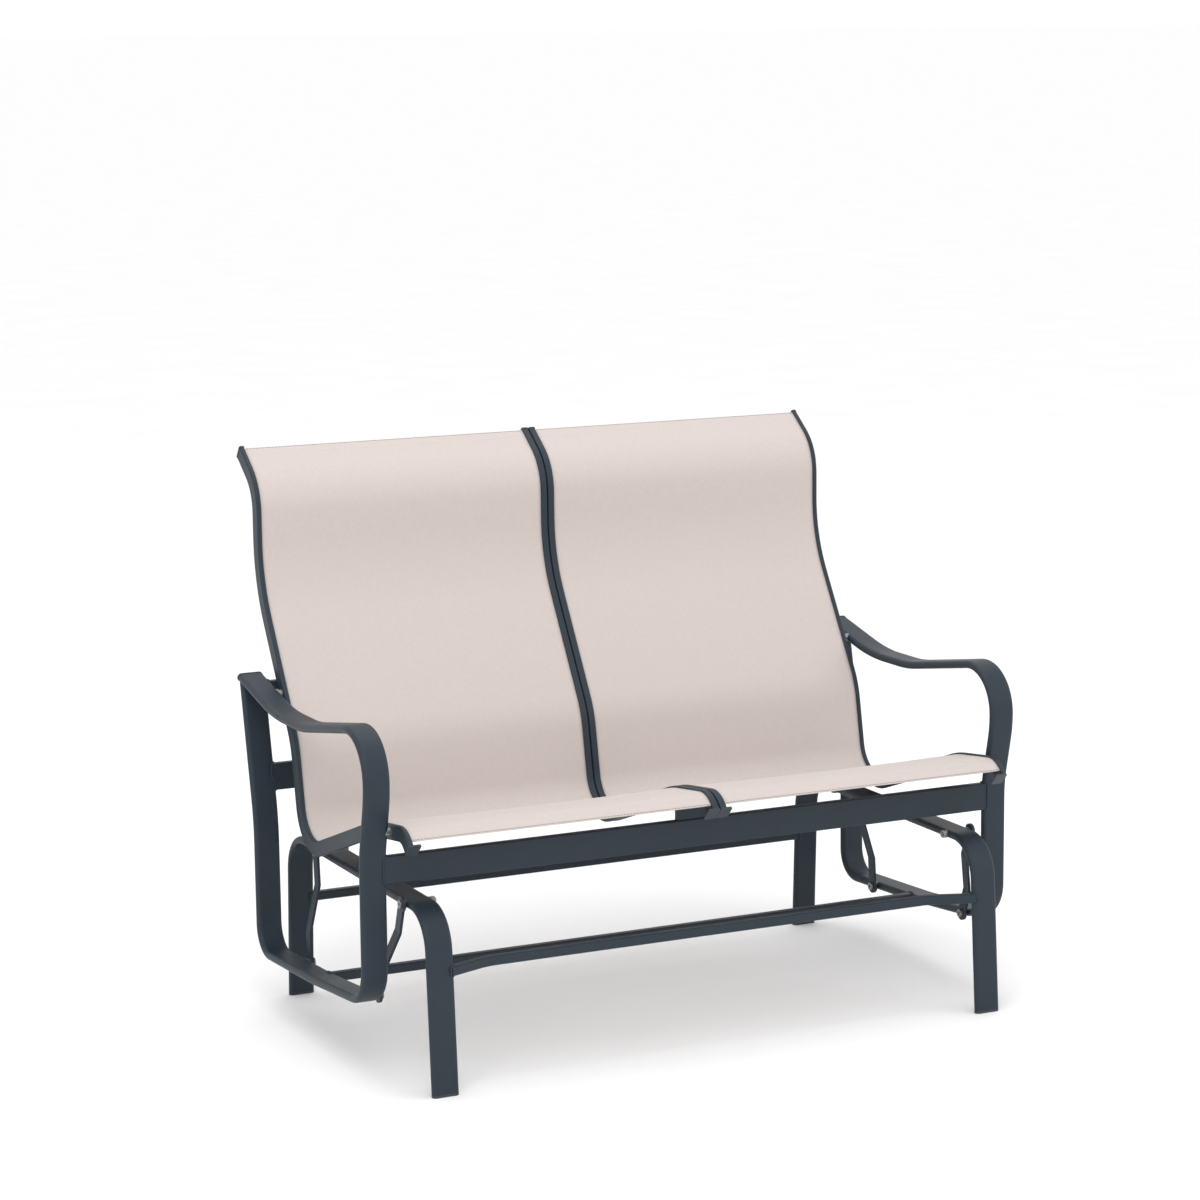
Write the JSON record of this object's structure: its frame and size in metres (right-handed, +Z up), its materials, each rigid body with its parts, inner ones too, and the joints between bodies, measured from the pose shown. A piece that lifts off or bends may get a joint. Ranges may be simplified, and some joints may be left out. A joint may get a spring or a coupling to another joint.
{
  "type": "double glider bench",
  "caption": "Outdoor glider bench: two sling panels on an S-curved frame with looped arms, hung by flat links from a low standing base so that it glides forwards and back.",
  "frame": {"origin": "on the floor, at the middle of the overall width and depth", "axes": "+X to the right of someone looking at the front, +Y to the rear, +Z up"},
  "size_m": [1.2812, 0.8364, 1.0218],
  "materials": {
    "frame_paint": "satin",
    "sling_fabric": null,
    "spline_cord": null,
    "black_plastic": null,
    "bush_nylon": null,
    "sleeve_rubber": null,
    "steel": null
  },
  "bodies": {
    "base": {"base_front_stretcher": "frame_paint", "base_left_end_frame": "frame_paint", "base_rear_stretcher": "frame_paint", "base_right_end_frame": "frame_paint", "left_front_glide": "black_plastic", "left_front_top_bolt": "steel", "left_rear_glide": "black_plastic", "left_rear_top_bolt": "steel", "right_front_glide": "black_plastic", "right_front_top_bolt": "steel", "right_rear_glide": "black_plastic", "right_rear_top_bolt": "steel", "top_nuts": "steel", "top_washers": "steel"},
    "left_front_link_body": {"left_front_link": "frame_paint", "left_front_link_low_bush": "bush_nylon", "left_front_link_top_bush": "bush_nylon"},
    "left_rear_link_body": {"left_rear_link": "frame_paint", "left_rear_link_top_bush": "bush_nylon"},
    "right_front_link_body": {"right_front_link": "frame_paint", "right_front_link_low_bush": "bush_nylon", "right_front_link_top_bush": "bush_nylon"},
    "right_rear_link_body": {"right_rear_link": "frame_paint", "right_rear_link_top_bush": "bush_nylon"},
    "seat": {"back_screws": "steel", "centre_back_spacer": "frame_paint", "centre_front_block": "frame_paint", "left_arm_cap": "black_plastic", "left_arm_loop": "frame_paint", "left_centre_sling_rail": "frame_paint", "left_front_low_bolt": "steel", "left_open_sleeve": "sleeve_rubber", "left_outer_sling_rail": "frame_paint", "left_rail_front_caps": "black_plastic", "left_rail_top_caps": "black_plastic", "left_rear_low_bolt": "steel", "left_side_screws": "steel", "left_side_spacers": "steel", "left_sling": "sling_fabric", "left_spline_cords": "spline_cord", "low_washers": "steel", "right_arm_cap": "black_plastic", "right_arm_loop": "frame_paint", "right_centre_sling_rail": "frame_paint", "right_front_low_bolt": "steel", "right_open_sleeve": "sleeve_rubber", "right_outer_sling_rail": "frame_paint", "right_rail_front_caps": "black_plastic", "right_rail_top_caps": "black_plastic", "right_rear_low_bolt": "steel", "right_side_screws": "steel", "right_side_spacers": "steel", "right_sling": "sling_fabric", "right_spline_cords": "spline_cord", "seat_front_rail": "frame_paint", "seat_lower_bar": "frame_paint", "seat_rear_rail": "frame_paint", "seat_upper_rear_bar": "frame_paint"}
  },
  "joints": [
    {"name": "left_front_link_swing", "type": "hinge", "parent": "base", "child": "left_front_link_body", "pos_m": [-0.00056, -0.30314, 0.313], "axis": [1, 0, 0], "range_deg": [-12, 12]},
    {"name": "seat_pivot", "type": "hinge", "parent": "left_front_link_body", "child": "seat", "pos_m": [-0.00059, -0.24214, 0.1398], "axis": [1, 0, 0], "range_deg": [-14.9, 14.9]},
    {"name": "right_front_link_swing", "type": "hinge", "parent": "base", "child": "right_front_link_body", "pos_m": [0.00056, -0.30314, 0.313], "axis": [1, 0, 0], "range_deg": [-12, 12]},
    {"name": "left_rear_link_swing", "type": "hinge", "parent": "base", "child": "left_rear_link_body", "pos_m": [-0.00056, 0.10586, 0.313], "axis": [1, 0, 0], "range_deg": [-11.2, 11.2]},
    {"name": "right_rear_link_swing", "type": "hinge", "parent": "base", "child": "right_rear_link_body", "pos_m": [0.00056, 0.10586, 0.313], "axis": [1, 0, 0], "range_deg": [-11.2, 11.2]}
  ],
  "couplings": [
    {"joint": "seat_pivot", "follows": "left_front_link_swing", "ratio": -1.2253},
    {"joint": "right_front_link_swing", "follows": "left_front_link_swing", "ratio": 1},
    {"joint": "left_rear_link_swing", "follows": "left_front_link_swing", "ratio": 0.8435},
    {"joint": "right_rear_link_swing", "follows": "left_front_link_swing", "ratio": 0.8435}
  ]
}
